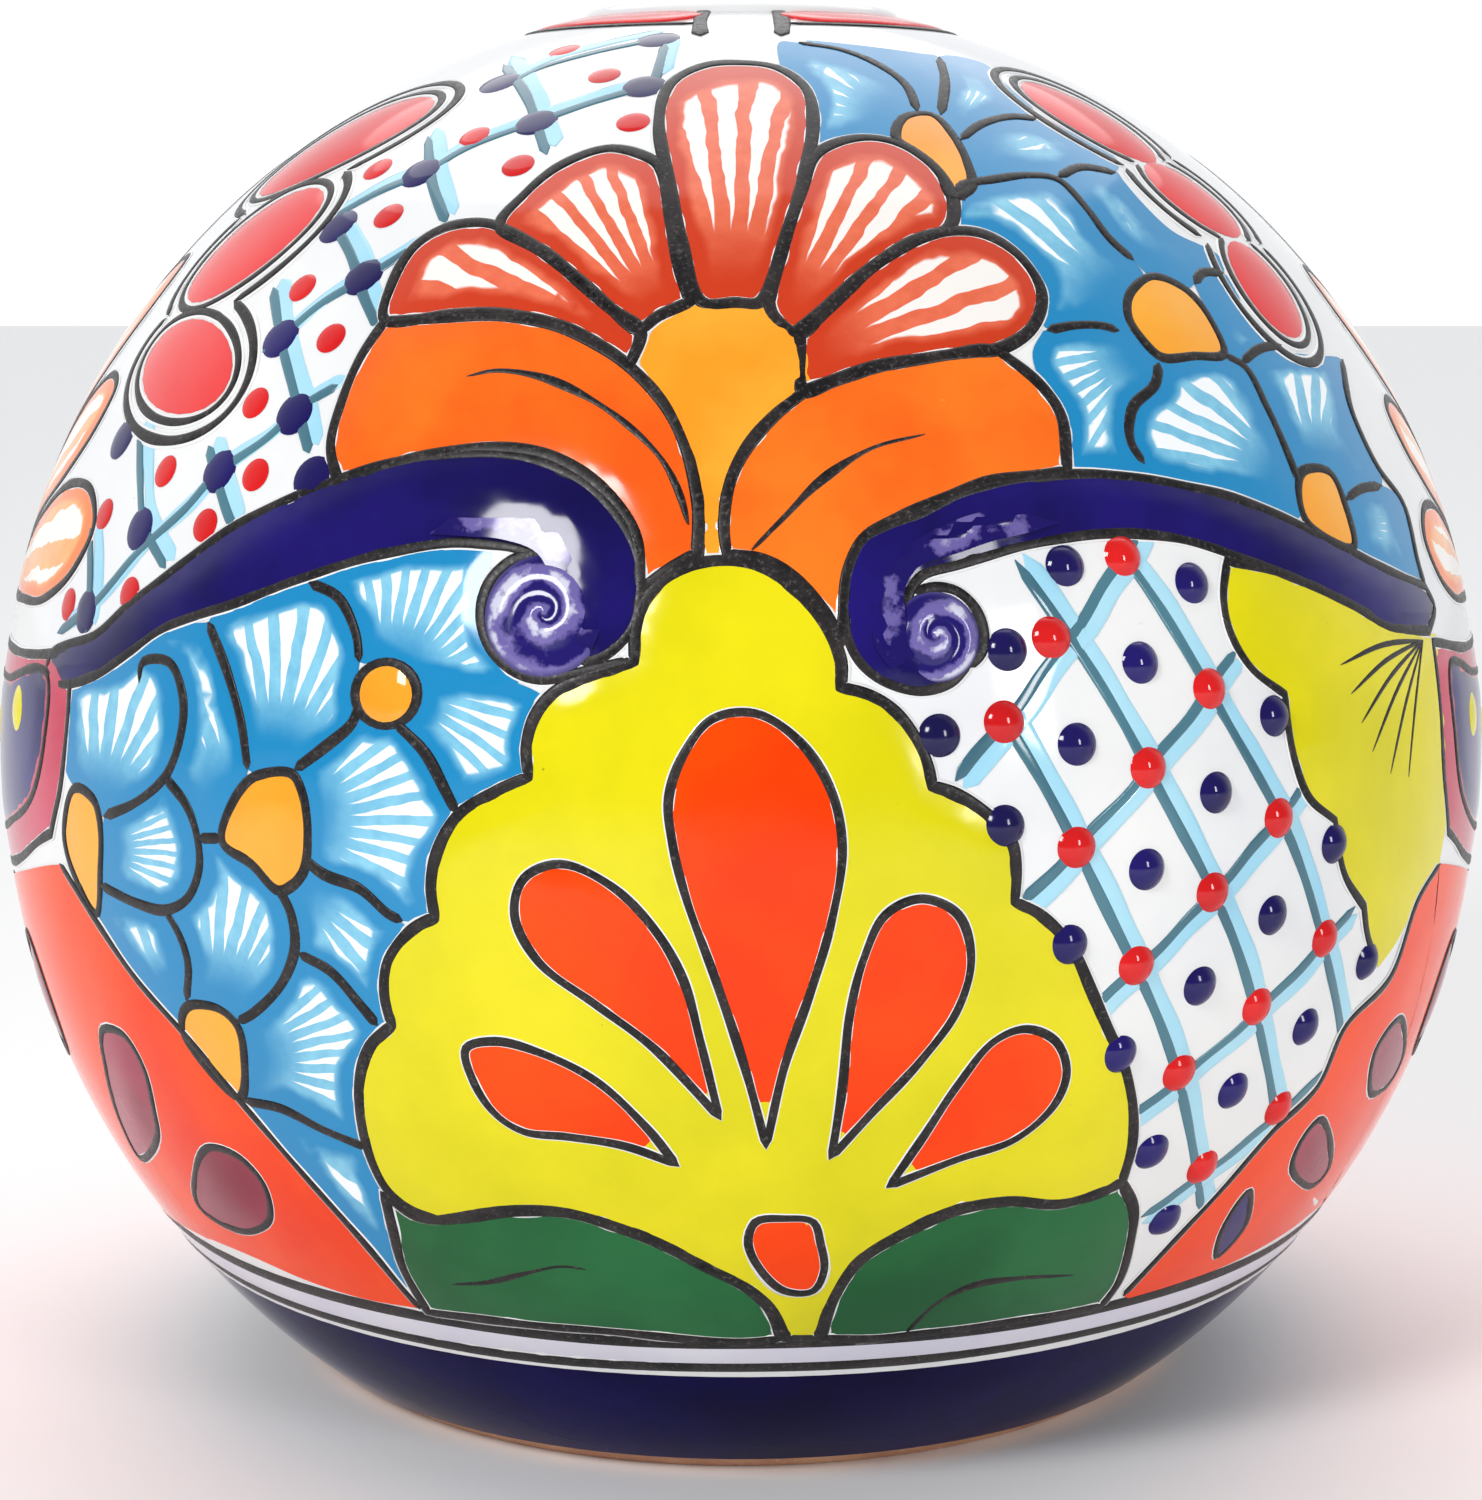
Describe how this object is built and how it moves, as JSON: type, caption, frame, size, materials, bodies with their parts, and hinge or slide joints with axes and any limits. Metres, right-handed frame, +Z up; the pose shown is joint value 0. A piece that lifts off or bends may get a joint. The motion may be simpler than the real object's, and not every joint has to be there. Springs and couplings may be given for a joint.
{
  "type": "talavera pottery vase",
  "caption": "Ball-shaped glazed pottery vase with a low lip, a bare clay foot ring and a painted flower, scroll and leaf pattern with raised dots.",
  "frame": {"origin": "centre of the foot ring's resting face", "axes": "+Z up through the mouth, -Y towards the front flower motif, +X to the right of it"},
  "size_m": [0.254, 0.254, 0.231],
  "materials": {
    "bare_terracotta": "matte",
    "tin_glaze_white": "gloss",
    "cobalt_glaze": "gloss",
    "red_glaze": "gloss",
    "liner_clear_glaze": "gloss"
  },
  "bodies": {
    "root": {"foot_ring": "bare_terracotta", "clay_lower_bowl": "bare_terracotta", "clay_upper_bowl": "bare_terracotta", "seam_coil": "bare_terracotta", "mouth_lip": "bare_terracotta", "cobalt_base_band": "cobalt_glaze", "tin_glaze": "tin_glaze_white", "lip_glaze": "red_glaze", "liner_glaze": "liner_clear_glaze", "scroll_eye_front_left": "cobalt_glaze", "scroll_eye_front_right": "cobalt_glaze", "red_dots_front": "red_glaze", "cobalt_dots_front": "cobalt_glaze", "scroll_eye_back_left": "cobalt_glaze", "scroll_eye_back_right": "cobalt_glaze", "red_dots_back": "red_glaze", "cobalt_dots_back": "cobalt_glaze"}
  },
  "joints": []
}
